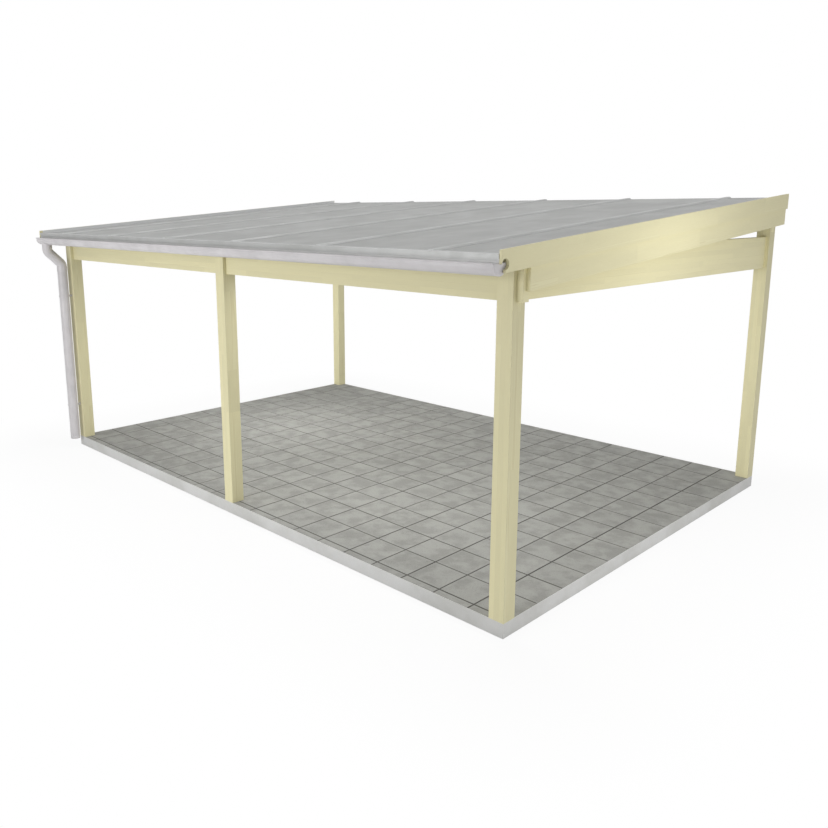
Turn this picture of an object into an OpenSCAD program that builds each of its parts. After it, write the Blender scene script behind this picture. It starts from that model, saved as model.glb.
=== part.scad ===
// Garden room frame: a lean-to of laminated timber on a paved base, with a low mono-pitch
// sheet roof that falls to the front, verge boards on both gables, a half-round gutter and
// a downpipe. X runs along the front, Y to the rear and Z up. The origin is at the centre of
// the base's underside.

/* [Base] */
// Width of the base, over the outer faces of the corner posts
base_w = 5980; // [4800:10:7200]
// Depth of the base, over the outer faces of the front and rear posts
base_d = 3965; // [3200:5:4800]
// Height of the base
base_h = 102; // [80:1:160]
// Thickness of the paving that lies in the base
paving_t = 30; // [20:1:40]
// Width of the base's upstand round the paving
rim_w = 4; // [3:1:12]

/* [Posts and beams] */
// Side of a square post
post_s = 115; // [90:1:160]
// Thickness of every beam and rafter
beam_t = 56; // [45:1:75]
// Height of the front, rear and gable beams
beam_h = 277; // [225:1:330]
// Clear height from the paving to the front beam
clear_h = 1998; // [1700:1:2500]

/* [Roof] */
// Pitch of the roof, in degrees
roof_pitch = 4.76; // [3:0.01:8]
// Distance that the sheets run out in front of the front beam
eave_out = 258; // [180:1:320]
// Width of the first and the last roof sheet, from the end of the beams to the nearest rafter's axis
side_sheet_w = 494.5; // [400:0.5:650]
// Vertical depth of the rafters
rafter_h = 195; // [170:5:220]
// Thickness of the end rafters
end_rafter_t = 47; // [45:1:60]
// Thickness of the roof sheets
sheet_t = 16; // [10:1:25]
// Thickness of the seal under the sheets
seal_t = 7; // [4:1:12]
// Width of a cap profile over a sheet joint
cap_w = 60; // [50:1:80]
// Height of a cap profile above the sheets
cap_h = 12; // [8:1:18]
// Gap between the edges of two sheets
sheet_gap = 20; // [16:1:30]

/* [Verge boards] */
// Thickness of the upper verge board
upper_t = 43; // [36:1:55]
// Thickness of the upper verge board's lip, outside the sheets' edges
lip_t = 18; // [12:1:24]
// Vertical depth of the upper verge board
upper_h = 130; // [110:1:160]
// Thickness of the lower verge board
lower_t = 28; // [18:1:36]
// Vertical depth of the lower verge board
lower_h = 138; // [110:1:170]
// Height of the verge boards' top edge above the sheets
verge_lip = 30; // [20:1:50]
// Distance from the front beam to the nose of the upper verge board
nose_out = 264; // [200:1:350]

/* [Gutter and downpipe] */
// Outer radius of the half-round gutter
gutter_r = 55; // [52:1:70]
// Height of the gutter's straight sides above its half round
gutter_side = 18; // [10:1:30]
// Wall of the gutter
gutter_wall = 2; // [1.5:0.5:3]
// Drop from the rafters' top plane at the eave to the gutter's top edges
gutter_drop = 18.5; // [8:0.5:40]
// Outer radius of the downpipe
pipe_r = 50; // [38:1:55]
// Wall of the downpipe
pipe_wall = 2; // [1.5:0.5:3]
// Gap between the downpipe and the post behind it
pipe_gap = 34; // [25:1:60]
// Radius of the swan neck's two bends, on the pipe's axis
neck_r = 60; // [55:1:100]

/* [Hidden] */

timber = "#d9d2a3";
sheet_grey = "#abaca9";
metal_grey = "#c5c5c6";

// Heights and places of the frame
slope = tan(roof_pitch);
half_w = base_w / 2;
half_d = base_d / 2;
post_x = half_w - post_s / 2;
post_y = half_d - post_s / 2;
cheek_t = (post_s - beam_t) / 2;
beam_front = -half_d + cheek_t;
beam_back = half_d - cheek_t;
beam_z = base_h + clear_h;
beam_end = half_w + end_rafter_t;
rear_beam_z = bearing_z(beam_back - beam_t) - beam_h;

// Places on the roof, along and square to its slope, from the front beam's top front edge.
// There is a rafter under each joint of two sheets.
joint_count = 6;
rafter_pitch = 2 * (beam_end - side_sheet_w) / (joint_count - 1);
profile_t = 3;
sheet_n = seal_t + sheet_t;
roof_low = -eave_out / cos(roof_pitch);
roof_high = (base_d - cheek_t) / cos(roof_pitch) - profile_t;
flange_w = 30;
joint_gap = 3;
stem_w = 12;

// Places of the gutter
gutter_in = 3;
gutter_y = beam_front - eave_out + gutter_in;
gutter_z = bearing_z(beam_front - eave_out) - gutter_drop;
round_z = gutter_z - gutter_side;
bead_r = 5;
fit_gap = 0.3;

// Places of the downpipe
pipe_x = -post_x;
pipe_y = -half_d - pipe_gap - pipe_r;
neck_angle = 45;
neck_run = ((pipe_y - gutter_y) - 2 * neck_r * (1 - cos(neck_angle))) / sin(neck_angle);
neck_drop = 2 * neck_r * sin(neck_angle) + neck_run * cos(neck_angle);
outlet_t = 2;
neck_top = round_z - gutter_r - outlet_t - 2 * fit_gap;
neck_lead = 42;
neck_high = neck_top - neck_lead;
neck_low = neck_high - neck_drop;
socket_h = 50;
pipe_top = neck_low - socket_h;
pipe_foot = 100;
clip_places = [0.2, 0.85];

// Height of the plane in which the beams' and rafters' top faces lie
function bearing_z(y) = base_h + clear_h + beam_h + (y - beam_front) * slope;
function joint_x(i) = (i - (joint_count + 1) / 2) * rafter_pitch;

// An outline in Y and Z, drawn out along X
module across(x0, x1) translate([x0, 0, 0]) rotate([90, 0, 90]) linear_extrude(x1 - x0) children();
// The roof's own frame: Y along the slope and Z square to it
module on_roof() translate([0, beam_front, beam_z + beam_h]) rotate([roof_pitch, 0, 0]) children();
// The same on the left as on the right
module on_left() mirror([1, 0, 0]) children();
// A band that follows the roof's slope between two places along Y
module band(y0, y1, low, high)
  polygon([[y0, low + bearing_z(y0)], [y1, low + bearing_z(y1)], [y1, high + bearing_z(y1)],
    [y0, high + bearing_z(y0)]]);

// The cast base, with a shallow bed for the paving
module floor_slab() color("#c9c9c6") difference() {
  translate([-half_w, -half_d, 0]) cube([base_w, base_d, base_h]);
  translate([rim_w - half_w, rim_w - half_d, base_h - paving_t])
    cube([base_w - 2 * rim_w, base_d - 2 * rim_w, paving_t + 1]);
}
module paving() color("#a3a39d")
  translate([rim_w - half_w, rim_w - half_d, base_h - paving_t])
    cube([base_w - 2 * rim_w, base_d - 2 * rim_w, paving_t]);

// A post with a forked head: two cheeks hold the beam, whose underside stands on the fork's seat
module post_side(y, seat) difference() {
  polygon([[y - post_s / 2, base_h], [y + post_s / 2, base_h],
    [y + post_s / 2, bearing_z(y + post_s / 2)], [y - post_s / 2, bearing_z(y - post_s / 2)]]);
  translate([y - beam_t / 2, seat]) square([beam_t, 2 * beam_h]);
}
module front_post(x) color(timber) across(x - post_s / 2, x + post_s / 2) post_side(-post_y, beam_z);
module rear_post(x) color(timber) across(x - post_s / 2, x + post_s / 2) post_side(post_y, rear_beam_z);

// The beams, with their top edges planed to the slope of the roof
module beam_side(y, z) polygon([[y, z], [y + beam_t, z], [y + beam_t, bearing_z(y + beam_t)],
  [y, bearing_z(y)]]);
module front_beam() color(timber) across(0, beam_end) beam_side(beam_front, beam_z);
module rear_beam() color(timber) across(-half_w, half_w) beam_side(beam_back - beam_t, rear_beam_z);
module gable_beam() color(timber)
  translate([post_x - beam_t / 2, -half_d + post_s, beam_z]) cube([beam_t, base_d - 2 * post_s, beam_h]);

// The rafters hang between the front and rear beams, and the end rafters pass the posts outside
module rafter_side() band(beam_front + beam_t, beam_back - beam_t, -rafter_h, 0);
module rafter(i) color(timber) across(joint_x(i) - beam_t / 2, joint_x(i) + beam_t / 2) rafter_side();
module end_rafter() color(timber) across(half_w, beam_end)
  band(beam_front + beam_t, half_d, -rafter_h, 0);

// A pressed steel hanger: a shoe under and beside the rafter's end, with two wings on the beam
hanger_t = 2;
hanger_d = 60;
hanger_h = 130;
wing_w = 32;
module hanger_shape(x, y0, y1, wing_y) difference() {
  union() {
    across(x - beam_t / 2 - hanger_t, x + beam_t / 2 + hanger_t)
      band(y0, y1, -rafter_h - hanger_t, hanger_h - rafter_h);
    across(x - beam_t / 2 - wing_w, x + beam_t / 2 + wing_w)
      band(wing_y, wing_y + hanger_t, -rafter_h - hanger_t, hanger_h - rafter_h);
  }
  across(x - beam_t / 2, x + beam_t / 2) band(y0 - 1, y1 + 1, -rafter_h, hanger_h);
}
module rafter_hangers() color("silver") for (i = [1:joint_count]) {
  hanger_shape(joint_x(i), beam_front + beam_t, beam_front + beam_t + hanger_d, beam_front + beam_t);
  hanger_shape(joint_x(i), beam_back - beam_t - hanger_d, beam_back - beam_t,
    beam_back - beam_t - hanger_t);
}

// The upper verge board: a lip outside the sheets' edges, with a nose over the gutter and a round
// notch behind the gutter's rear edge, and a thicker part inside it that ends behind the gutter
notch_gap = 2;
notch_r = 31;
notch_drop = 7;
inner_t = upper_t - lip_t;
board_up = sheet_n / cos(roof_pitch) + verge_lip;
notch_y = gutter_y + gutter_r - notch_r;
notch_z = gutter_z - notch_drop;
module upper_board() color(timber) {
  across(beam_end + inner_t, beam_end + upper_t) difference() {
    band(beam_front - nose_out, half_d, board_up - upper_h, board_up);
    translate([notch_y, notch_z]) circle(notch_r, $fn = 96);
    translate([notch_y - 2 * gutter_r, notch_z - upper_h]) square([2 * gutter_r, upper_h]);
  }
  across(beam_end, beam_end + inner_t)
    band(gutter_y + gutter_r + notch_gap, half_d - 2 * profile_t, board_up - upper_h,
      (seal_t - profile_t) / cos(roof_pitch) - fit_gap);
}
module lower_board() color(timber) across(beam_end, beam_end + lower_t)
  band(beam_front + beam_t / 2, half_d, board_up - upper_h - lower_h, board_up - upper_h);

// Seals under the sheets, one on each rafter and a half one on each end rafter
module seal_strips() color("#3c3c3c") on_roof() {
  for (i = [1:joint_count]) translate([joint_x(i) - cap_w / 2, roof_low + flange_w, 0])
    cube([cap_w, roof_high - roof_low - 2 * flange_w, seal_t]);
  for (x = [-beam_end, beam_end - end_rafter_t]) translate([x, roof_low + flange_w, 0])
    cube([end_rafter_t, roof_high - roof_low - 2 * flange_w, seal_t]);
}

// Roof sheets, numbered from the left, with room to grow at every edge
sheet_end = beam_end + inner_t - joint_gap;
function sheet_left(i) = i == 1 ? -sheet_end : joint_x(i - 1) + sheet_gap / 2;
function sheet_right(i) = i == joint_count + 1 ? sheet_end : joint_x(i) - sheet_gap / 2;
module roof_panel(i) color(sheet_grey) on_roof()
  translate([sheet_left(i), roof_low, seal_t])
    cube([sheet_right(i) - sheet_left(i), roof_high - roof_low, sheet_t]);

// A cap: an arched bar on two feet, closed at both ends, with a stem that stands on the seal
// between two sheets
cap_wall = 2.5;
foot_w = 9;
crown_w = 30;
cover_w = 25;
cover_up = 8;
cap_low = roof_low + cover_w + fit_gap;
cap_high = roof_high + profile_t;
module cap_outline() polygon([[-cap_w / 2, sheet_n], [-cap_w / 2, sheet_n + cap_wall],
  [-crown_w / 2, sheet_n + cap_h], [crown_w / 2, sheet_n + cap_h],
  [cap_w / 2, sheet_n + cap_wall], [cap_w / 2, sheet_n]]);
module cap_hollow() polygon([[foot_w - cap_w / 2, sheet_n - 1], [foot_w - cap_w / 2, sheet_n + cap_wall],
  [-crown_w / 2, sheet_n + cap_h - cap_wall], [crown_w / 2, sheet_n + cap_h - cap_wall],
  [cap_w / 2 - foot_w, sheet_n + cap_wall], [cap_w / 2 - foot_w, sheet_n - 1]]);
// An outline across the slope, drawn out along it
module along(y0, y1) translate([0, y1, 0]) rotate([90, 0, 0]) linear_extrude(y1 - y0) children();
module cap_profile(i) translate([joint_x(i), 0, 0]) {
  difference() {
    along(cap_low, cap_high) cap_outline();
    along(cap_low + cap_wall, cap_high - cap_wall) cap_hollow();
  }
  translate([-stem_w / 2, cap_low, seal_t])
    cube([stem_w, roof_high - cap_low, sheet_t + cap_h - cap_wall / 2]);
}
// A verge angle: one leg on the outermost sheet, the other up the verge board's lip
angle_w = 40;
angle_t = 2;
module verge_angle() {
  translate([beam_end + inner_t - angle_w, cap_low, sheet_n]) cube([angle_w, roof_high - cap_low, angle_t]);
  translate([beam_end + inner_t - angle_t, cap_low, sheet_n])
    cube([angle_t, roof_high - cap_low, verge_lip * cos(roof_pitch)]);
}
module cap_profiles() color(metal_grey) on_roof() {
  for (i = [1:joint_count]) cap_profile(i);
  verge_angle();
  on_left() verge_angle();
}

// Edge profiles: a flange under the sheets and a web before their ends. The eave's has a nose with
// a second flange over the sheets, and its web goes on down as a drip that ends inside the gutter.
drip_in = 6;
drip_h = gutter_drop + drip_in;
module edge_section(drop, up) {
  translate([-profile_t, -drop]) square([profile_t, drop + sheet_n + up]);
  translate([-profile_t, seal_t - profile_t]) square([flange_w + profile_t, profile_t]);
}
module nose_section() {
  translate([-2 * profile_t, seal_t - profile_t]) square([2 * profile_t, sheet_t + profile_t + cover_up]);
  translate([-2 * profile_t, sheet_n + cover_up - profile_t]) square([cover_w + 2 * profile_t, profile_t]);
  translate([cover_w - profile_t, sheet_n]) square([profile_t, cover_up]);
}
module edge_bar(y) on_roof() translate([-sheet_end, y, 0]) rotate([90, 0, 90])
  linear_extrude(2 * sheet_end) children();
module eave_profile() color(metal_grey) edge_bar(roof_low) {
  edge_section(drip_h, cover_up);
  nose_section();
}
module rear_profile() color(metal_grey) edge_bar(roof_high) mirror([1, 0]) edge_section(0, 0);

// The gutter: a half round with straight sides, a bead along its front edge and an outlet hole
end_t = 2;
end_gap = 2;
gutter_end = beam_end + inner_t - end_gap;
module trough(r, deep) {
  circle(r, $fn = 96);
  translate([-r, 0]) square([2 * r, deep]);
}
module gutter_section() difference() {
  union() {
    intersection() {
      trough(gutter_r, gutter_side);
      translate([-2 * gutter_r, -2 * gutter_r]) square([4 * gutter_r, 2 * gutter_r + gutter_side]);
    }
    translate([-gutter_r + gutter_wall - bead_r, gutter_side - bead_r]) circle(bead_r, $fn = 32);
  }
  intersection() {
    trough(gutter_r - gutter_wall, gutter_side + 1);
    translate([-2 * gutter_r, -2 * gutter_r]) square([4 * gutter_r, 2 * gutter_r + gutter_side + 1]);
  }
}
module gutter() color(metal_grey) difference() {
  across(end_t - gutter_end, gutter_end - end_t) translate([gutter_y, round_z]) gutter_section();
  translate([pipe_x, gutter_y, round_z - gutter_r - 10])
    cylinder(gutter_r, r = pipe_r - 2 * pipe_wall - fit_gap, $fn = 64);
}
module gutter_end_plate() across(gutter_end - end_t, gutter_end) translate([gutter_y, round_z])
  intersection() {
    trough(gutter_r, gutter_side);
    translate([-2 * gutter_r, -2 * gutter_r]) square([4 * gutter_r, 2 * gutter_r + gutter_side]);
  }
module gutter_ends() color(metal_grey) {
  gutter_end_plate();
  on_left() gutter_end_plate();
}

// Brackets: a flat bar from the front beam's top, down inside the gutter's rear edge and across
bracket_t = 4;
bracket_w = 25;
bracket_seat = 50;
bracket_dip = 10;
inner_r = gutter_r - gutter_wall;
module bracket_side() {
  band(gutter_y + inner_r - bracket_t, beam_front + bracket_seat, 0, bracket_t);
  translate([gutter_y + inner_r - bracket_t, gutter_z - bracket_dip])
    square([bracket_t, bearing_z(gutter_y + inner_r) + bracket_t / 2 - gutter_z + bracket_dip]);
  translate([gutter_y - inner_r, gutter_z - bracket_dip - bracket_t]) square([2 * inner_r, bracket_t]);
}
module gutter_brackets() color("silver") for (i = [1:joint_count + 1])
  let (x = (sheet_left(i) + sheet_right(i)) / 2)
    across(x - bracket_w / 2, x + bracket_w / 2) bracket_side();

// The outlet: a saddle under the gutter with a spigot that enters the swan neck
saddle_lip = 3;
saddle_r = pipe_r + saddle_lip;
saddle_top = 20;
spigot_h = 36;
spigot_r = pipe_r - pipe_wall - fit_gap;
module gutter_outlet() color(metal_grey) translate([pipe_x, gutter_y, 0]) difference() {
  union() {
    intersection() {
      translate([0, 0, round_z]) rotate([0, 90, 0]) cylinder(4 * saddle_r, r = gutter_r + fit_gap + outlet_t,
        center = true, $fn = 96);
      translate([0, 0, round_z - 2 * gutter_r]) cylinder(2 * gutter_r - saddle_top, r = saddle_r, $fn = 64);
    }
    translate([0, 0, neck_top - spigot_h]) cylinder(spigot_h + gutter_r / 2, r = spigot_r, $fn = 64);
  }
  translate([0, 0, round_z]) rotate([0, 90, 0]) cylinder(6 * saddle_r, r = gutter_r + fit_gap,
    center = true, $fn = 96);
  translate([0, 0, neck_top - spigot_h - 1]) cylinder(2 * gutter_r, r = spigot_r - pipe_wall, $fn = 64);
}

// The swan neck: two elbows, each a straight lead and a bend, with a slanting pipe between them
module tube_from(r, high) cylinder(high, r = r, $fn = 64);
module neck_bend(a0, r) rotate([90, 0, 90]) rotate([0, 0, a0])
  rotate_extrude(angle = neck_angle, $fn = 96) translate([neck_r, 0]) circle(r, $fn = 64);
module upper_lead(r, over) {
  translate([0, -neck_r, 0]) tube_from(r, neck_lead + over);
  neck_bend(180, r);
}
module lower_lead(r, over) {
  translate([0, neck_r, -socket_h - over]) tube_from(r, socket_h + over);
  neck_bend(0, r);
}
module upper_elbow() color(metal_grey) translate([pipe_x, gutter_y + neck_r, neck_high]) difference() {
  upper_lead(pipe_r, 0);
  upper_lead(pipe_r - pipe_wall, 1);
}
module lower_elbow() color(metal_grey) translate([pipe_x, pipe_y - neck_r, neck_low]) difference() {
  lower_lead(pipe_r, 0);
  lower_lead(pipe_r - pipe_wall, 1);
}
module neck_pipe() color(metal_grey)
  translate([pipe_x, pipe_y - neck_r, neck_low]) rotate([neck_angle, 0, 0]) translate([0, neck_r, 0])
    difference() {
      tube_from(pipe_r, neck_run);
      translate([0, 0, -1]) tube_from(pipe_r - pipe_wall, neck_run + 2);
    }

// The downpipe, with a socket at its top that takes the swan neck's end
socket_r = pipe_r + fit_gap + pipe_wall;
module downpipe() color(metal_grey) translate([pipe_x, pipe_y, 0]) difference() {
  union() {
    translate([0, 0, pipe_foot]) cylinder(pipe_top - pipe_foot, r = pipe_r, $fn = 64);
    translate([0, 0, pipe_top - profile_t]) cylinder(socket_h + profile_t, r = socket_r, $fn = 64);
  }
  translate([0, 0, pipe_foot - 1]) cylinder(pipe_top, r = pipe_r - pipe_wall, $fn = 64);
  translate([0, 0, pipe_top]) cylinder(socket_h + 1, r = pipe_r + fit_gap, $fn = 64);
}

// Two clips round the downpipe, each with an arm to the post
clip_h = 20;
clip_wall = 2.5;
clip_arm = 22;
module pipe_clip(z) translate([pipe_x, pipe_y, z]) difference() {
  union() {
    cylinder(clip_h, r = pipe_r + fit_gap + clip_wall, $fn = 64);
    translate([-clip_arm / 2, 0, 0]) cube([clip_arm, pipe_r + pipe_gap, clip_h]);
  }
  translate([0, 0, -1]) cylinder(clip_h + 2, r = pipe_r + fit_gap, $fn = 64);
}
module pipe_clips() color(metal_grey) for (part = clip_places)
  pipe_clip(pipe_foot + part * (pipe_top - pipe_foot));

floor_slab();
paving();
front_post(post_x);  // post_front_right
front_post(0);  // post_front_middle
front_post(-post_x);  // post_front_left
rear_post(post_x);  // post_rear_right
rear_post(-post_x);  // post_rear_left
front_beam();  // front_beam_right
on_left() front_beam();  // front_beam_left
rear_beam();
gable_beam();  // gable_beam_right
on_left() gable_beam();  // gable_beam_left
end_rafter();  // end_rafter_right
on_left() end_rafter();  // end_rafter_left
rafter(1);  // rafter_1
rafter(2);  // rafter_2
rafter(3);  // rafter_3
rafter(4);  // rafter_4
rafter(5);  // rafter_5
rafter(6);  // rafter_6
rafter_hangers();
upper_board();  // upper_board_right
on_left() upper_board();  // upper_board_left
lower_board();  // lower_board_right
on_left() lower_board();  // lower_board_left
seal_strips();
roof_panel(1);  // roof_panel_1
roof_panel(2);  // roof_panel_2
roof_panel(3);  // roof_panel_3
roof_panel(4);  // roof_panel_4
roof_panel(5);  // roof_panel_5
roof_panel(6);  // roof_panel_6
roof_panel(7);  // roof_panel_7
cap_profiles();
eave_profile();
rear_profile();
gutter();
gutter_ends();
gutter_brackets();
gutter_outlet();
upper_elbow();
neck_pipe();
lower_elbow();
downpipe();
pipe_clips();
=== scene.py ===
import math

import bpy
import numpy as np
from mathutils import Matrix, Vector


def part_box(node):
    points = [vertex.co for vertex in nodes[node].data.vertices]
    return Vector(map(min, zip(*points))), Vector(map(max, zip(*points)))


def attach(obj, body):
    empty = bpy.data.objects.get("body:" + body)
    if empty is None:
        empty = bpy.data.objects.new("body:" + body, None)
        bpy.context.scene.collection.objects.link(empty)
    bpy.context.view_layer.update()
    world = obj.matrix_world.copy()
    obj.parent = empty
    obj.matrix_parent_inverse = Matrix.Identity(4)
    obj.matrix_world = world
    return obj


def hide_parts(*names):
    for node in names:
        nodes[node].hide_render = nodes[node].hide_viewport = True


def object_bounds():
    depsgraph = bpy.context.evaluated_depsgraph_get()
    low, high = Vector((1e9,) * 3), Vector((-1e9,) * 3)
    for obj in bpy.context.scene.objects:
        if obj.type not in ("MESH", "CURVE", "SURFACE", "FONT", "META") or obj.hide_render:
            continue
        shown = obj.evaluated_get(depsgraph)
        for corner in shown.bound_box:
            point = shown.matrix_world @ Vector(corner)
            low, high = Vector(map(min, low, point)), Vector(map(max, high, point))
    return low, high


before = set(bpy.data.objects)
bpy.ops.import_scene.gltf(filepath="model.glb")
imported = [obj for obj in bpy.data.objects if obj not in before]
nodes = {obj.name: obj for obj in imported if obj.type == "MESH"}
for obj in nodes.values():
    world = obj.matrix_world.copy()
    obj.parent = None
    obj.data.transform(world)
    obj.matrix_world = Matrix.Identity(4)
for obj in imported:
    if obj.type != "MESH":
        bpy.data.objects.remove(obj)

cadLow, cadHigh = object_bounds()  # the CAD box, before anything is added
scene = bpy.context.scene
scene.view_settings.view_transform = "Standard"
roofPitch = math.radians(4.76)
print("frame loaded:", len(nodes), "nodes")


def shade(red, green, blue):
    # linear colour of a screen shade given in 0 to 255: c / 12.92 near black, else
    # ((c + 0.055) / 1.055) to the power 2.4
    c = np.array([red, green, blue]) / 255
    c = np.where(c <= 0.04045, c / 12.92, ((c + 0.055) / 1.055) ** 2.4)
    return (float(c[0]), float(c[1]), float(c[2]), 1.0)


def feed(tree, socket, value):
    # a socket is linked, and a plain value is set
    if isinstance(value, bpy.types.NodeSocket):
        tree.links.new(value, socket)
    else:
        socket.default_value = value


def add(tree, kind, settings=None, inputs=None):
    # one node, with its settings, and its inputs given as values or as sockets
    node = tree.nodes.new("ShaderNode" + kind)
    for key, value in (settings or {}).items():
        setattr(node, key, value)
    for key, value in (inputs or {}).items():
        feed(tree, node.inputs[key], value)
    return node


def calc(tree, operation, *values):
    # one sum on numbers
    return add(tree, "Math", {"operation": operation}, dict(enumerate(values))).outputs[0]


def vectorCalc(tree, operation, *values):
    # one sum on vectors, which gives a number for a product, a length or a distance
    node = add(tree, "VectorMath", {"operation": operation}, dict(enumerate(values)))
    return node.outputs["Value" if operation in ("DOT_PRODUCT", "LENGTH", "DISTANCE") else "Vector"]


def parts(tree, vector):
    # the three numbers of a vector or colour
    return add(tree, "SeparateXYZ", None, {0: vector}).outputs


def joined(tree, *numbers):
    # a vector of up to three numbers
    return add(tree, "CombineXYZ", None, dict(enumerate(numbers))).outputs[0]


def spread(tree, value, low, high, toLow=0.0, toHigh=1.0, smooth=True):
    # value from low..high to toLow..toHigh, clamped, along an S or a straight line
    node = add(tree, "MapRange", {"interpolation_type": "SMOOTHSTEP" if smooth else "LINEAR"},
               {"Value": value, "From Min": low, "From Max": high, "To Min": toLow, "To Max": toHigh})
    return node.outputs["Result"]


def mixColour(tree, amount, first, second):
    # first * (1 - amount) + second * amount
    return add(tree, "Mix", {"data_type": "RGBA", "clamp_factor": True},
               {0: amount, 6: first, 7: second}).outputs[2]


def scaled(tree, vector, factor):
    # each of the three numbers times factor
    return add(tree, "VectorMath", {"operation": "SCALE"}, {0: vector, "Scale": factor}).outputs["Vector"]


def noise(tree, vector, scale, detail=2.0, rough=0.5):
    # soft noise from 0 to 1, with features of about 1 / scale
    return add(tree, "TexNoise", None,
               {"Vector": vector, "Scale": scale, "Detail": detail, "Roughness": rough}).outputs["Fac"]


def drawnOut(tree, vector, stretch, detail):
    # noise with that many features a metre along each of the three axes
    return noise(tree, vectorCalc(tree, "MULTIPLY", vector, stretch), 1.0, detail)


def startMaterial(name, fixed):
    # an empty material with its shader, whose unchanging sockets are set here
    material = bpy.data.materials.new(name)
    material.use_nodes = True
    tree = material.node_tree
    shader = tree.nodes["Principled BSDF"]
    for key, value in fixed.items():
        shader.inputs[key].default_value = value
    return material, tree, shader


def finishMaterial(tree, shader, colour, roughness, height, depth, edge=0.0):
    # links colour, roughness and bump; the bump rides on normals rounded over the edges
    tree.links.new(colour, shader.inputs["Base Color"])
    tree.links.new(roughness, shader.inputs["Roughness"])
    bump = {"Height": height, "Distance": depth, "Strength": 1.0}
    if edge:
        bump["Normal"] = add(tree, "Bevel", {"samples": 4}, {"Radius": edge}).outputs[0]
    tree.links.new(add(tree, "Bump", None, bump).outputs[0], shader.inputs["Normal"])


def edgeMask(tree, radius, low=0.01, high=0.25):
    # 0 on flat faces, 1 on edges: 1 less the cosine between the rounded normal and the flat one
    rounded = add(tree, "Bevel", {"samples": 4}, {"Radius": radius}).outputs[0]
    flat = add(tree, "NewGeometry").outputs["Normal"]
    return spread(tree, calc(tree, "SUBTRACT", 1.0, vectorCalc(tree, "DOT_PRODUCT", rounded, flat)), low, high)


def place(tree, centre=(0, 0, 0), turn=(0, 0, 0)):
    # object coordinates seen from a frame at centre, turned by turn
    coords = add(tree, "TexCoord").outputs["Object"]
    return add(tree, "Mapping", {"vector_type": "TEXTURE"},
               {"Vector": coords, "Location": centre, "Rotation": turn}).outputs[0]


def dress(material, *names):
    # gives CAD nodes their material
    for name in names:
        nodes[name].material_slots[0].material = material


timberLook = {
    "early": shade(234, 229, 190), "late": shade(209, 197, 149), "knot": shade(165, 124, 78),
    "worn": shade(241, 236, 205), "wornShare": 0.35,
    "ring": 0.0034,          # width of a year's ring
    "wander": 0.016,         # how far the rings wander along the grain
    "pithAside": 0.05,       # how far the pith lies off to either side of a board
    "pithBelow": (0.02, 0.11),
    "boardLength": 0.95,     # from finger joint to finger joint
    "finger": 0.009, "fingerPitch": 0.0076,
    "glue": 0.00035,         # half the width of a glue line
    "glueDark": 0.16,
    "knotCells": 4.2,        # places for a knot, in a metre
    "knotNone": 0.55,        # share of them that hold none
    "knotSize": 0.045,       # radius of a knot, as a share of its cell
    "knotSwell": 0.012,      # how far the rings swell round it
    "knotDark": 0.62,
    "edge": 0.0025,          # radius of the worn edges
    "bump": 0.0002,
    "apart": 40.0,           # how far the boards' patterns are moved apart
}


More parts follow.
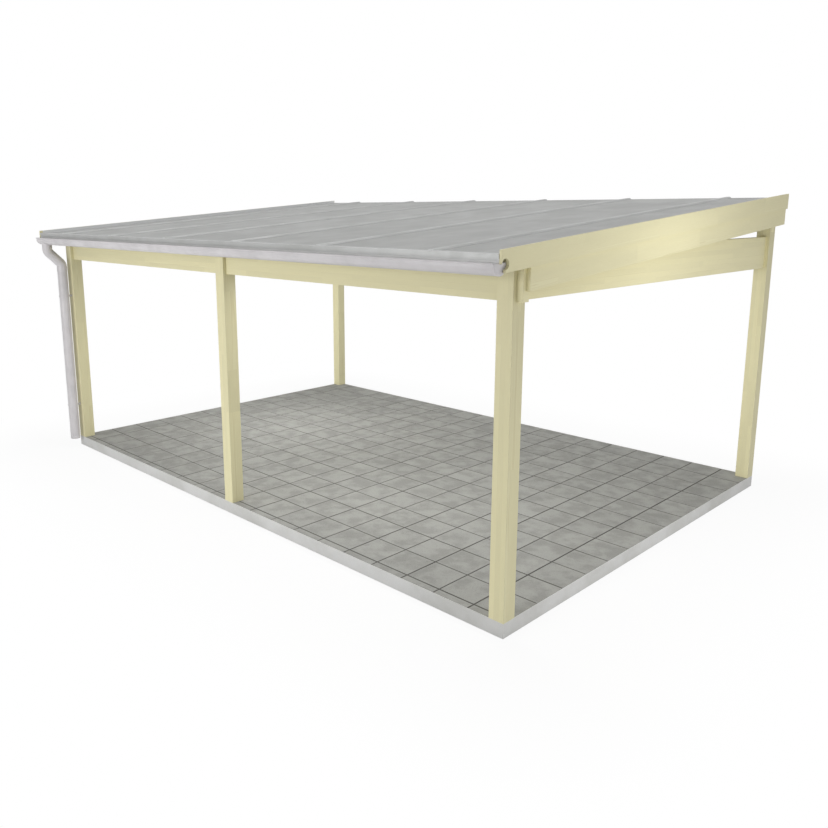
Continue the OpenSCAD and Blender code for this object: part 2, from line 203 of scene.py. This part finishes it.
def timberGroup():
    # Solid timber: rings round a pith beside each lamella. With x along the grain, lamella
    # k = floor(z / stack + 1/2), pith (cy, cz) at random from k, the ring number is
    # (length(y - cy, z - cz) + wander * noise(x, y, z)) / ring, and latewood is its fraction cubed.
    look = timberLook
    tree = bpy.data.node_groups.new("timberGrain", "ShaderNodeTree")
    sockets = {
        "INPUT": {"Vector": "Vector", "Seed": "Float", "Stack": "Float"},
        "OUTPUT": {"Colour": "Color", "Roughness": "Float", "Height": "Float"},
    }
    for way, kinds in sockets.items():
        for label, kind in kinds.items():
            tree.interface.new_socket(label, in_out=way, socket_type="NodeSocket" + kind)
    given = tree.nodes.new("NodeGroupInput").outputs
    seed, stack = given["Seed"], given["Stack"]
    spot = parts(tree, given["Vector"])
    x, y, z = spot[0], spot[1], spot[2]
    k = calc(tree, "FLOOR", calc(tree, "ADD", calc(tree, "DIVIDE", z, stack), 0.5))
    inside = calc(tree, "SUBTRACT", z, calc(tree, "MULTIPLY", k, stack))
    # finger joints run in a zigzag across each lamella
    zigzag = calc(tree, "PINGPONG", inside, look["fingerPitch"] / 2)
    jointed = calc(tree, "MULTIPLY_ADD", zigzag, look["finger"] * 2 / look["fingerPitch"], x)
    lamella = add(tree, "TexWhiteNoise", {"noise_dimensions": "2D"}, {"Vector": joined(tree, k, seed)})
    along = calc(tree, "ADD", calc(tree, "DIVIDE", jointed, look["boardLength"]),
                 calc(tree, "MULTIPLY", lamella.outputs["Value"], 7.0))
    board = add(tree, "TexWhiteNoise", {"noise_dimensions": "3D"},
                {"Vector": joined(tree, k, calc(tree, "FLOOR", along), seed)}).outputs["Color"]
    chance = parts(tree, board)
    # coordinates of this board, moved far apart from every other board's
    moved = vectorCalc(tree, "ADD", given["Vector"], scaled(tree, board, look["apart"]))
    sway = calc(tree, "SUBTRACT", drawnOut(tree, moved, (0.7, 6.0, 6.0), 3.0), 0.5)
    wander = calc(tree, "MULTIPLY", sway, look["wander"])
    aside = spread(tree, chance[0], 0, 1, -look["pithAside"], look["pithAside"], False)
    below = spread(tree, chance[1], 0, 1, *look["pithBelow"], False)
    radius = vectorCalc(tree, "LENGTH", joined(tree, calc(tree, "SUBTRACT", y, aside),
                                               calc(tree, "ADD", inside, below)))
    # knots: rare cells whose centre lies near the surface; the rings swell round them
    cells = add(tree, "TexVoronoi", None, {"Vector": moved, "Scale": look["knotCells"]}).outputs
    rare = calc(tree, "GREATER_THAN", parts(tree, cells["Color"])[0], look["knotNone"])
    size = look["knotSize"]
    near = calc(tree, "MULTIPLY", rare, spread(tree, cells["Distance"], 0.0, size * 3.2, 1.0, 0.0))
    knot = calc(tree, "MULTIPLY", rare, spread(tree, cells["Distance"], size * 0.7, size, 1.0, 0.0))
    swell = calc(tree, "MULTIPLY", near, look["knotSwell"])
    total = calc(tree, "ADD", calc(tree, "ADD", radius, wander), swell)
    ring = calc(tree, "FRACT", calc(tree, "DIVIDE", total, look["ring"]))
    late = calc(tree, "MULTIPLY", calc(tree, "POWER", ring, 3.0), spread(tree, ring, 0.93, 1.0, 1.0, 0.0))
    # fibres and slow drifts of tone, drawn out along the grain
    fibre = drawnOut(tree, moved, (14.0, 900.0, 900.0), 2.0)
    drift = drawnOut(tree, moved, (1.2, 9.0, 9.0), 2.0)
    share = calc(tree, "MULTIPLY_ADD", fibre, 0.34, calc(tree, "MULTIPLY", late, 0.55))
    colour = mixColour(tree, share, look["early"], look["late"])
    colour = mixColour(tree, calc(tree, "MULTIPLY", knot, look["knotDark"]), colour, look["knot"])
    level = calc(tree, "ADD", spread(tree, chance[2], 0, 1, 0.975, 1.02, False),
                 spread(tree, drift, 0.3, 0.7, -0.02, 0.02))
    # a glue line lies half a lamella from its middle
    fromGlue = calc(tree, "ABSOLUTE", calc(tree, "SUBTRACT", calc(tree, "ABSOLUTE", inside),
                                           calc(tree, "MULTIPLY", stack, 0.5)))
    glue = spread(tree, fromGlue, 0.0, look["glue"], look["glueDark"], 0.0)
    colour = scaled(tree, colour, calc(tree, "SUBTRACT", level, glue))
    rough = calc(tree, "SUBTRACT", spread(tree, fibre, 0.2, 0.8, 0.5, 0.64),
                 calc(tree, "MULTIPLY", late, 0.06))
    grain = calc(tree, "MULTIPLY_ADD", fibre, 0.6, calc(tree, "MULTIPLY", late, 0.5))
    height = calc(tree, "SUBTRACT", grain, calc(tree, "MULTIPLY", glue, 3.0))
    result = tree.nodes.new("NodeGroupOutput").inputs
    for label, value in (("Colour", colour), ("Roughness", rough), ("Height", height)):
        tree.links.new(value, result[label])
    return tree


grainGroup = timberGroup()
upSlope = Matrix.Rotation(roofPitch, 3, "X") @ Matrix.Rotation(math.pi / 2, 3, "Z")
grainAlong = {  # how each piece's own frame is turned, its x along the grain
    "x": (0.0, 0.0, 0.0),
    "y": (0.0, 0.0, math.pi / 2),
    "z": (0.0, -math.pi / 2, 0.0),
    "slope": tuple(upSlope.to_euler()),
}


def gluedTimber(name, along, stack, seed):
    # glued timber on one CAD node, centred on it, with worn edges
    look = timberLook
    low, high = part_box(name)
    material, tree, shader = startMaterial("timber_" + name, {"Specular IOR Level": 0.35, "Coat Weight": 0.06,
                                                              "Coat Roughness": 0.35})
    at = place(tree, (low + high) / 2, grainAlong[along])
    grain = add(tree, "Group", {"node_tree": grainGroup},
                {"Vector": at, "Seed": float(seed), "Stack": stack}).outputs
    worn = calc(tree, "MULTIPLY", edgeMask(tree, look["edge"]), look["wornShare"])
    colour = mixColour(tree, worn, grain["Colour"], look["worn"])
    finishMaterial(tree, shader, colour, grain["Roughness"], grain["Height"], look["bump"], look["edge"])
    dress(material, name)


lamella = {  # thickness; a board is sawn in one, so its single lamella is thicker than itself
    "post": 0.115 / 3, "beam": 0.277 / 7, "rafter": 0.039, "board": 1.0,
}
timberPieces = (  # names, direction of the grain, thickness of a lamella
    (["post_" + n for n in ("front_right", "front_middle", "front_left", "rear_right", "rear_left")],
     "z", lamella["post"]),
    (["front_beam_right", "front_beam_left", "rear_beam"], "x", lamella["beam"]),
    (["gable_beam_right", "gable_beam_left"], "y", lamella["beam"]),
    (["rafter_%d" % i for i in range(1, 7)] + ["end_rafter_right", "end_rafter_left"],
     "slope", lamella["rafter"]),
    (["upper_board_right", "upper_board_left", "lower_board_right", "lower_board_left"],
     "slope", lamella["board"]),
)
timberCount = 0
for names, along, stack in timberPieces:
    for name in names:
        timberCount += 1
        gluedTimber(name, along, stack, timberCount)
print("timber dressed:", timberCount, "pieces")


baseLook = {
    "pale": shade(214, 214, 213), "dull": shade(199, 199, 196), "worn": shade(236, 236, 234),
    "edge": 0.006,           # radius of the paler edges: worn, and a painted highlight along them
    "pitDark": 0.3, "bump": 0.0006,
}


def castConcrete():
    # cloudy cement with fine grit and small air holes, which lie where cells and a slow noise meet
    look = baseLook
    material, tree, shader = startMaterial("castConcrete", {"Specular IOR Level": 0.25})
    at = place(tree)
    clouds = noise(tree, at, 2.2, 5.0, 0.6)
    grit = noise(tree, at, 420.0, 2.0, 0.7)
    holes = add(tree, "TexVoronoi", None, {"Vector": at, "Scale": 55.0}).outputs["Distance"]
    pits = calc(tree, "MULTIPLY", spread(tree, holes, 0.04, 0.1, 1.0, 0.0),
                spread(tree, noise(tree, at, 30.0), 0.5, 0.6))
    colour = mixColour(tree, spread(tree, clouds, 0.35, 0.7), look["pale"], look["dull"])
    # the edges are paler: wear, and a painted highlight along them
    colour = mixColour(tree, edgeMask(tree, look["edge"]), colour, look["worn"])
    level = calc(tree, "SUBTRACT", spread(tree, grit, 0.3, 0.7, 0.95, 1.05),
                 calc(tree, "MULTIPLY", pits, look["pitDark"]))
    colour = scaled(tree, colour, level)
    height = calc(tree, "SUBTRACT", calc(tree, "MULTIPLY", grit, 0.4), pits)
    rough = spread(tree, clouds, 0.3, 0.7, 0.78, 0.9)
    finishMaterial(tree, shader, colour, rough, height, look["bump"], look["edge"] / 2)
    return material


dress(castConcrete(), "floor_slab")

paving = {
    "tile": 0.3,
    "firstColumn": -2.7, "firstRow": -1.911,  # where the lines of whole tiles start
    "lines": 40,             # more than any paving of this kind has
    "thinnest": 0.01,        # no tile is cut narrower
    "gap": 0.0075, "wide": 0.0095,  # open joint between two tiles, and every second one
    "bevel": 0.002, "drop": 0.002,  # width and height of a tile's bevelled edge
    "sand": 0.004,           # how deep the joint sand lies
    "soft": 0.0002,          # width of the sand's sloped edge
    "uneven": 0.0008,        # how far a tile may lie low
    "bed": 0.001,            # height of the bed under the tiles
    "seed": 11,
}


def meshObject(name, points, faces, material):
    # a flat-shaded piece on the root body; faces is a list of quads and other polygons
    mesh = bpy.data.meshes.new(name)
    mesh.from_pydata(points.reshape(-1, 3).tolist(), [], faces)
    mesh.polygons.foreach_set("use_smooth", np.zeros(len(mesh.polygons), bool))
    mesh.materials.append(material)
    mesh.update()
    piece = bpy.data.objects.new(name, mesh)
    scene.collection.objects.link(piece)
    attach(piece, "root")
    return piece


def tileLines(low, high, first):
    # edges of the tiles along one side: whole tiles at first + tile * number, and cut ones at both
    # ends, and half the width of the joint on each, where every second joint is wide
    p = paving
    number = np.arange(-1, p["lines"])
    whole = first + p["tile"] * number
    inside = (whole > low + p["thinnest"]) & (whole < high - p["thinnest"])
    half = np.where(number[inside] % 2 == 0, p["wide"], p["gap"]) / 2
    side = p["gap"] / 4
    return np.concatenate(([low], whole[inside], [high])), np.concatenate(([side], half, [side]))


def ringPoints(x0, x1, y0, y1, inset, z):
    # eight points round a rectangle, its corners and middles, moved inwards by inset: each lies at
    # the share s of the width and t of the depth
    s = np.array([0, 0.5, 1, 1, 1, 0.5, 0, 0])
    t = np.array([0, 0, 0, 0.5, 1, 1, 1, 0.5])
    x = (x0 + inset)[:, None] + s * (x1 - x0 - 2 * inset)[:, None]
    y = (y0 + inset)[:, None] + t * (y1 - y0 - 2 * inset)[:, None]
    return np.stack([x, y, np.broadcast_to(z, x.shape)], axis=-1)


def tileBlocks(material):
    # each tile is four rings stacked: foot, top of the side, edge of the face and middle of the
    # face, at insets 0, 0, bevel, tile / 4; the faces lie up to `uneven` below the base's top
    p = paving
    low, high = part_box("paving")
    xs, halfX = tileLines(low.x, high.x, p["firstColumn"])
    ys, halfY = tileLines(low.y, high.y, p["firstRow"])
    startX, startY = np.meshgrid(xs[:-1] + halfX[:-1], ys[:-1] + halfY[:-1], indexing="ij")
    endX, endY = np.meshgrid(xs[1:] - halfX[1:], ys[1:] - halfY[1:], indexing="ij")
    x0, x1, y0, y1 = (a.ravel() for a in (startX, endX, startY, endY))
    count = len(x0)
    chance = np.random.default_rng(p["seed"])
    top = high.z - p["uneven"] * chance.random(count)
    tilt = p["uneven"] / 2 * chance.random((count, 8))
    none = np.zeros(count)
    middle = np.minimum(x1 - x0, y1 - y0) / 4
    rings = np.stack([
        ringPoints(x0, x1, y0, y1, none, low.z + p["bed"] + p["soft"]),
        ringPoints(x0, x1, y0, y1, none, (top - p["drop"])[:, None]),
        ringPoints(x0, x1, y0, y1, none + p["bevel"], top[:, None] - tilt),
        ringPoints(x0, x1, y0, y1, middle, top[:, None] - tilt / 2),
    ], axis=1)
    a = np.arange(8)
    b = (a + 1) % 8
    band = np.stack([a, b, b + 8, a + 8], axis=1)
    walls = np.concatenate([band, band + 8, band + 16])
    faces = []
    for shift in 32 * np.arange(count):  # 32 points in a tile
        faces += (walls + shift).tolist() + [(a + 24 + shift).tolist(), (a[::-1] + shift).tolist()]
    return meshObject("pavingTiles", rings, faces, material), (xs, halfX), (ys, halfY)


def jointSand(columns, rows, material):
    # a sheet of heights on a grid: the sand's top inside a joint, the bed under a tile, where a
    # joint is the band within half its width of a line; walls and a bottom close it
    p = paving
    low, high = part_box("paving")

    def stations(lines, halves):
        # the foot and the top of the sand's edges beside each line, and which of them are on top
        edge = halves - p["soft"]
        marks = np.concatenate([lines + way * edge + out * p["soft"]
                                for way, out in ((-1, -1), (-1, 0), (1, 0), (1, 1))])
        marks = np.unique(np.clip(marks, lines[0], lines[-1]))
        gap = (np.abs(marks[:, None] - lines[None, :]) - edge[None, :]).min(axis=1)
        return marks, gap < p["soft"] / 2

    x, inX = stations(*columns)
    y, inY = stations(*rows)
    gridX, gridY = np.meshgrid(x, y, indexing="ij")
    gridZ = np.where(inX[:, None] | inY[None, :], high.z - p["sand"], low.z + p["bed"])
    top = np.stack([gridX, gridY, gridZ], axis=-1).reshape(-1, 3)
    index = np.arange(len(top)).reshape(len(x), len(y))
    cells = np.stack([index[:-1, :-1], index[1:, :-1], index[1:, 1:], index[:-1, 1:]], axis=-1).reshape(-1, 4)
    rim = np.concatenate([index[:, 0], index[-1, 1:], index[-2::-1, -1], index[0, -2:0:-1]])
    foot = top[rim].copy()
    foot[:, 2] = low.z
    under = len(top) + np.arange(len(rim))
    walls = np.stack([rim, under, np.roll(under, -1), np.roll(rim, -1)], axis=1)
    faces = cells.tolist() + walls.tolist() + [under[::-1].tolist()]
    return meshObject("jointSand", np.concatenate([top, foot]), faces, material)


tileLook = {
    "grey": shade(163, 163, 159), "cloud": shade(149, 149, 145), "rim": shade(170, 170, 166),
    "speck": shade(112, 111, 106), "soil": shade(100, 99, 95), "damp": shade(84, 83, 79),
    "rimShare": 0.35, "speckShare": 0.3,
    "soilShare": 0.9, "soilFrom": (0.0022, 0.001),  # all soiled and clean, below the paving's top
    "bump": 0.0006,
}


def pressedSlab():
    # pressed concrete slabs: cloudy, each of its own tone, paler along its rim, with fine grit
    # and with soil on its sides; a slab is the whole number of coordinates / tile
    look, p = tileLook, paving
    material, tree, shader = startMaterial("pressedSlab", {"Specular IOR Level": 0.25})
    at = place(tree, (0.0, p["firstRow"], 0.0))
    inTiles = scaled(tree, at, 1 / p["tile"])
    slab = add(tree, "TexWhiteNoise", {"noise_dimensions": "2D"},
               {"Vector": vectorCalc(tree, "FLOOR", inTiles)}).outputs
    moved = vectorCalc(tree, "ADD", at, scaled(tree, slab["Color"], 9.0))
    fromMiddle = vectorCalc(tree, "SUBTRACT", vectorCalc(tree, "FRACTION", inTiles), (0.5, 0.5, 0.5))
    sides = parts(tree, vectorCalc(tree, "ABSOLUTE", fromMiddle))
    ripple = calc(tree, "MULTIPLY", calc(tree, "SUBTRACT", noise(tree, moved, 14.0, 3.0), 0.5), 0.09)
    rim = spread(tree, calc(tree, "ADD", calc(tree, "MAXIMUM", sides[0], sides[1]), ripple), 0.4, 0.5)
    clouds = noise(tree, moved, 7.0, 4.0, 0.55)
    grit = noise(tree, at, 520.0, 2.0, 0.7)
    stones = add(tree, "TexVoronoi", None, {"Vector": at, "Scale": 240.0}).outputs["Color"]
    stone = spread(tree, parts(tree, stones)[0], 0.8, 0.95)
    colour = mixColour(tree, spread(tree, clouds, 0.38, 0.64), look["grey"], look["cloud"])
    colour = mixColour(tree, calc(tree, "MULTIPLY", rim, look["rimShare"]), colour, look["rim"])
    colour = mixColour(tree, calc(tree, "MULTIPLY", stone, look["speckShare"]), colour, look["speck"])
    level = calc(tree, "MULTIPLY", spread(tree, slab["Value"], 0, 1, 0.955, 1.03, False),
                 spread(tree, grit, 0.3, 0.7, 0.94, 1.06))
    colour = scaled(tree, colour, level)
    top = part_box("paving")[1].z
    dirty, clean = (top - depth for depth in look["soilFrom"])
    soiled = spread(tree, parts(tree, at)[2], dirty, clean, look["soilShare"], 0.0)
    colour = mixColour(tree, soiled, colour, look["soil"])
    height = calc(tree, "MULTIPLY_ADD", grit, 0.6, calc(tree, "MULTIPLY", clouds, 0.6))
    rough = spread(tree, clouds, 0.3, 0.7, 0.74, 0.88)
    finishMaterial(tree, shader, colour, rough, height, look["bump"], p["bevel"])
    return material


def dampSand():
    # dark sand with coarse grains, damp in large patches
    look = tileLook
    material, tree, shader = startMaterial("jointSand", {"Specular IOR Level": 0.15})
    at = place(tree)
    grains = noise(tree, at, 900.0, 2.0, 0.8)
    damp = noise(tree, at, 5.0, 3.0)
    colour = mixColour(tree, spread(tree, damp, 0.35, 0.65), look["soil"], look["damp"])
    colour = scaled(tree, colour, spread(tree, grains, 0.3, 0.7, 0.8, 1.2))
    finishMaterial(tree, shader, colour, spread(tree, grains, 0.3, 0.7, 0.9, 0.98), grains, 0.0008)
    return material


tiles, tileColumns, tileRows = tileBlocks(pressedSlab())
sand = jointSand(tileColumns, tileRows, dampSand())
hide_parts("paving")
print("paving laid:", (len(tileColumns[0]) - 1) * (len(tileRows[0]) - 1), "tiles")


sheetLook = {
    "clear": shade(166, 167, 165), "streak": shade(162, 163, 161), "rib": shade(176, 177, 175),
    "cell": 0.016,           # width of one hollow cell
    "ribShare": 0.3, "ribRise": -0.0003, "edge": 0.001,
}


def hollowSheet():
    # hollow sheet: a rib between two cells, where the fraction of across / cell is near a whole
    # number, and faint streaks down the slope
    look = sheetLook
    material, tree, shader = startMaterial("roofSheet", {"Specular IOR Level": 0.3})
    at = place(tree, turn=grainAlong["slope"])
    across = calc(tree, "DIVIDE", parts(tree, at)[1], look["cell"])
    cell = calc(tree, "ABSOLUTE", calc(tree, "SUBTRACT", calc(tree, "FRACT", across), 0.5))
    rib = calc(tree, "MULTIPLY", spread(tree, cell, 0.4, 0.5), look["ribShare"])
    streaks = drawnOut(tree, at, (0.5, 26.0, 8.0), 3.0)
    dust = noise(tree, at, 3.0, 5.0, 0.6)
    colour = mixColour(tree, spread(tree, streaks, 0.3, 0.7), look["clear"], look["streak"])
    colour = mixColour(tree, rib, colour, look["rib"])
    colour = scaled(tree, colour, spread(tree, dust, 0.3, 0.7, 0.985, 1.015))
    rough = spread(tree, dust, 0.3, 0.7, 0.4, 0.55)
    finishMaterial(tree, shader, colour, rough, cell, look["ribRise"], look["edge"])
    return material


barLook = {
    "cap": (shade(182, 183, 182), shade(170, 171, 169)),       # pale and dull
    "eave": (shade(181, 182, 181), shade(171, 172, 170)),
    "paintedLitDrip": shade(236, 236, 235),  # painted light on the drip below the nose, which lies in shade
    "paintedLitSides": shade(222, 223, 223),  # painted light on upright faces, which lie in shade
    "worn": shade(214, 215, 217),
    "paintedLitDripOver": (0.004, 0.022),    # all painted light and none, above the foot of the drip, which lies in shade below the nose
    # share of painted light on the caps' upright faces
    "capPaintedLitSides": 0.95,
    "edge": 0.0012, "bump": 0.00005,
}


def drawnAluminium(name, along, tones, paintedLitDrip=(0.0, 0.004), paintedLitSides=0.0):
    # drawn bar: fine lines along its length, satin. Painted light over the shaded drip below the nose fades in
    # downwards between two given heights, and upright faces, which lie in shade, get painted light by a given
    # share.
    look = barLook
    material, tree, shader = startMaterial(name, {"Metallic": 0.35, "Specular IOR Level": 0.5})
    at = place(tree, turn=grainAlong[along])
    lines = drawnOut(tree, at, (3.0, 1400.0, 1400.0), 2.0)
    dust = noise(tree, at, 4.0, 5.0, 0.6)
    coords = add(tree, "TexCoord").outputs
    # painted light: the drip below the nose lies in shade, and is lightened downwards between the two heights
    paintedLitDripShare = spread(tree, parts(tree, coords["Object"])[2], *paintedLitDrip, 1.0, 0.0)
    level = calc(tree, "ABSOLUTE", parts(tree, coords["Normal"])[2])
    # painted light: upright faces lie in shade, and are lightened by the given share
    paintedLitSideShare = spread(tree, level, 0.5, 0.9, paintedLitSides, 0.0)
    colour = mixColour(tree, spread(tree, dust, 0.35, 0.7), *tones)
    colour = mixColour(tree, paintedLitDripShare, colour, look["paintedLitDrip"])
    colour = mixColour(tree, paintedLitSideShare, colour, look["paintedLitSides"])
    colour = mixColour(tree, edgeMask(tree, look["edge"]), colour, look["worn"])
    colour = scaled(tree, colour, spread(tree, lines, 0.3, 0.7, 0.97, 1.03))
    rough = calc(tree, "ADD", spread(tree, lines, 0.3, 0.7, 0.36, 0.46),
                 spread(tree, dust, 0.35, 0.7, 0.0, 0.1))
    finishMaterial(tree, shader, colour, rough, lines, look["bump"], 0.0008)
    return material


gutterLook = {"pale": shade(209, 206, 208), "dull": shade(198, 195, 197), "worn": shade(222, 221, 224),
              "wornEdge": 0.0012, "edge": 0.001, "bump": 0.00015}


def gutterGrey(name, along):
    # smooth grey gutter stock: faint drips and dust, paler along worn edges
    look = gutterLook
    material, tree, shader = startMaterial(name, {"Specular IOR Level": 0.45, "Coat Weight": 0.1,
                                                  "Coat Roughness": 0.3})
    at = place(tree, turn=grainAlong[along])
    drips = drawnOut(tree, at, (1.5, 30.0, 30.0), 3.0)
    dust = noise(tree, at, 6.0, 5.0, 0.6)
    colour = mixColour(tree, spread(tree, dust, 0.3, 0.75), look["pale"], look["dull"])
    colour = mixColour(tree, edgeMask(tree, look["wornEdge"]), colour, look["worn"])
    colour = scaled(tree, colour, spread(tree, drips, 0.3, 0.7, 0.975, 1.02))
    rough = spread(tree, dust, 0.3, 0.7, 0.34, 0.5)
    finishMaterial(tree, shader, colour, rough, drips, look["bump"], look["edge"])
    return material


zincLook = {"dark": shade(182, 185, 188), "light": shade(206, 209, 211), "worn": shade(220, 222, 224),
            "crystals": 110.0, "wornEdge": 0.0008, "edge": 0.0006, "bump": 0.00004}


def galvanised():
    # zinc spangle: flat crystals of slightly different tone
    look = zincLook
    material, tree, shader = startMaterial("galvanisedSteel", {"Metallic": 0.9, "Specular IOR Level": 0.5})
    crystals = add(tree, "TexVoronoi", None, {"Vector": place(tree), "Scale": look["crystals"]})
    tone = parts(tree, crystals.outputs["Color"])[0]
    colour = mixColour(tree, tone, look["dark"], look["light"])
    colour = mixColour(tree, edgeMask(tree, look["wornEdge"]), colour, look["worn"])
    rough = spread(tree, tone, 0, 1, 0.32, 0.48)
    finishMaterial(tree, shader, colour, rough, tone, look["bump"], look["edge"])
    return material


rubberLook = {"black": shade(46, 46, 47), "bloom": shade(62, 62, 62), "bump": 0.0002}


def sealRubber():
    # dull black rubber with a grey bloom in patches
    look = rubberLook
    material, tree, shader = startMaterial("sealRubber", {"Specular IOR Level": 0.3})
    at = place(tree)
    bloom = noise(tree, at, 24.0, 4.0)
    colour = mixColour(tree, spread(tree, bloom, 0.3, 0.7), look["black"], look["bloom"])
    rough = spread(tree, bloom, 0.3, 0.7, 0.62, 0.82)
    finishMaterial(tree, shader, colour, rough, noise(tree, at, 300.0), look["bump"])
    return material


dress(hollowSheet(), *["roof_panel_%d" % i for i in range(1, 8)])
# the caps' upright faces get painted light over their shade
dress(drawnAluminium("capAluminium", "slope", barLook["cap"], paintedLitSides=barLook["capPaintedLitSides"]), "cap_profiles")
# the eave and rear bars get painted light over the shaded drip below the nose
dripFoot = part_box("eave_profile")[0].z
paintedLitDripHeights = [dripFoot + height for height in barLook["paintedLitDripOver"]]
dress(drawnAluminium("edgeAluminium", "x", barLook["eave"], paintedLitDripHeights), "eave_profile", "rear_profile")
dress(gutterGrey("gutterGrey", "x"), "gutter", "gutter_ends")
dress(gutterGrey("pipeGrey", "z"), "gutter_outlet", "upper_elbow", "neck_pipe", "lower_elbow", "downpipe",
      "pipe_clips")
dress(galvanised(), "gutter_brackets", "rafter_hangers")
dress(sealRubber(), "seal_strips")
print("metal, sheets and seals dressed")


stageLook = {
    "size": 60.0, "under": 0.001,  # half the floor's width, and how far it lies below the base
    "worldLight": 0.4, "floor": (0.86, 0.86, 0.86, 1.0),
    "near": 0.92,            # share of plain white in the floor at the base
    "fade": (0.0, 1.6),      # distances from the base at which that share holds and all is white
}
white = (1, 1, 1, 1)


def seenStraight(tree):
    # 1 for what the camera sees, also by way of gloss or glass, and 0 for light that bounces
    path = add(tree, "LightPath").outputs
    return calc(tree, "MAXIMUM", path["Is Camera Ray"],
                calc(tree, "MAXIMUM", path["Is Glossy Ray"], path["Is Transmission Ray"]))


def stageFloor():
    # pale floor that takes the object's shadow; the share of plain white grows from near to 1 with
    # the distance from the base, the length of (|x| - half width, |y| - half depth) above 0
    size, under = stageLook["size"], -stageLook["under"]
    data = bpy.data.meshes.new("studioFloor")
    corners = [(-size, -size, under), (size, -size, under), (size, size, under), (-size, size, under)]
    data.from_pydata(corners, [], [(0, 1, 2, 3)])
    floor = bpy.data.objects.new("studioFloor", data)
    scene.collection.objects.link(floor)
    material, tree, shader = startMaterial("studioFloor", {"Roughness": 1.0, "Specular IOR Level": 0.0,
                                                           "Base Color": stageLook["floor"]})
    past = vectorCalc(tree, "SUBTRACT", vectorCalc(tree, "ABSOLUTE", place(tree)),
                      (cadHigh[0], cadHigh[1], 1.0))
    distance = vectorCalc(tree, "LENGTH", vectorCalc(tree, "MAXIMUM", past, (0.0, 0.0, 0.0)))
    share = spread(tree, distance, *stageLook["fade"], stageLook["near"], 1.0)
    glow = add(tree, "Emission", None, {"Color": white, "Strength": 1.0})
    mix = add(tree, "MixShader", None, {0: calc(tree, "MULTIPLY", seenStraight(tree), share),
                                        1: shader.outputs[0], 2: glow.outputs[0]})
    tree.links.new(mix.outputs[0], tree.nodes["Material Output"].inputs["Surface"])
    data.materials.append(material)


def studioWorld():
    # soft light from all round, and a plain white where it is seen
    world = bpy.data.worlds.new("studio")
    scene.world = world
    world.use_nodes = True
    tree = world.node_tree
    light = add(tree, "Background", None, {"Color": white, "Strength": stageLook["worldLight"]})
    plain = add(tree, "Background", None, {"Color": white, "Strength": 1.0})
    mix = add(tree, "MixShader", None, {0: seenStraight(tree), 1: light.outputs[0], 2: plain.outputs[0]})
    tree.links.new(mix.outputs[0], tree.nodes["World Output"].inputs["Surface"])


lamps = {  # place, aim, width, height, power
    "front": ((0.8, -8.0, 2.7), (0.8, -2.0, 2.1), 3.0, 1.6, 84),
    "left": ((-1.2, -7.5, 1.3), (-2.9, 0.0, 1.1), 2.0, 1.6, 70),
    "rightLow": ((5.6, -0.3, 0.9), (3.0, -0.3, 0.9), 4.5, 0.8, 31),
    "gable": ((4.36, -0.25, 2.5), (3.08, -0.25, 2.45), 0.5, 0.5, 6.6),
    "roomFront": ((0.4, -1.2, 2.1), (0.4, -1.2, 0), 5.0, 1.0, 47),
    "roomRear": ((0.8, 0.8, 2.1), (0.8, 0.8, 0), 4.4, 2.0, 20),
    "roomLeft": ((-1.5, -0.3, 2.0), (-2.9, 1.2, 0.8), 1.4, 0.6, 28),
    "top": ((0, 0, 12.0), (0, 0, 0), 9.0, 9.0, 340),
    "rear": ((-3.0, 10.0, 2.0), (0, 1.0, 1.6), 5.0, 3.0, 110),
}


def softLamp(name, lampPlace, aim, width, height, power):
    # a rectangle of light that looks from its place to its aim
    data = bpy.data.lights.new(name, "AREA")
    data.shape = "RECTANGLE"
    data.size = width
    data.size_y = height
    data.energy = power
    lamp = bpy.data.objects.new(name, data)
    scene.collection.objects.link(lamp)
    lamp.location = lampPlace
    lamp.rotation_mode = "QUATERNION"
    lamp.rotation_quaternion = (Vector(aim) - Vector(lampPlace)).to_track_quat("-Z", "Y")
    lamp.visible_camera = False


cameraLook = {
    "place": (5.659, -5.662, 2.611),
    "turn": (78.6496, 0.0748, 45.1303),  # tilt, roll and heading, in degrees
    "lens": 34.368, "shift": (0.0342, -0.0534), "farthest": 200,
}


def addCamera():
    # a 36 mm camera, turned about X, Y and Z in that order
    camera = bpy.data.objects.new("camera", bpy.data.cameras.new("camera"))
    scene.collection.objects.link(camera)
    camera.location = cameraLook["place"]
    camera.rotation_euler = [math.radians(angle) for angle in cameraLook["turn"]]
    camera.data.lens = cameraLook["lens"]
    camera.data.sensor_width = 36.0
    camera.data.shift_x, camera.data.shift_y = cameraLook["shift"]
    camera.data.clip_end = cameraLook["farthest"]
    scene.camera = camera


stageFloor()
studioWorld()
for name, settings in lamps.items():
    softLamp(name, *settings)
addCamera()
print("stage, lamps and camera placed")
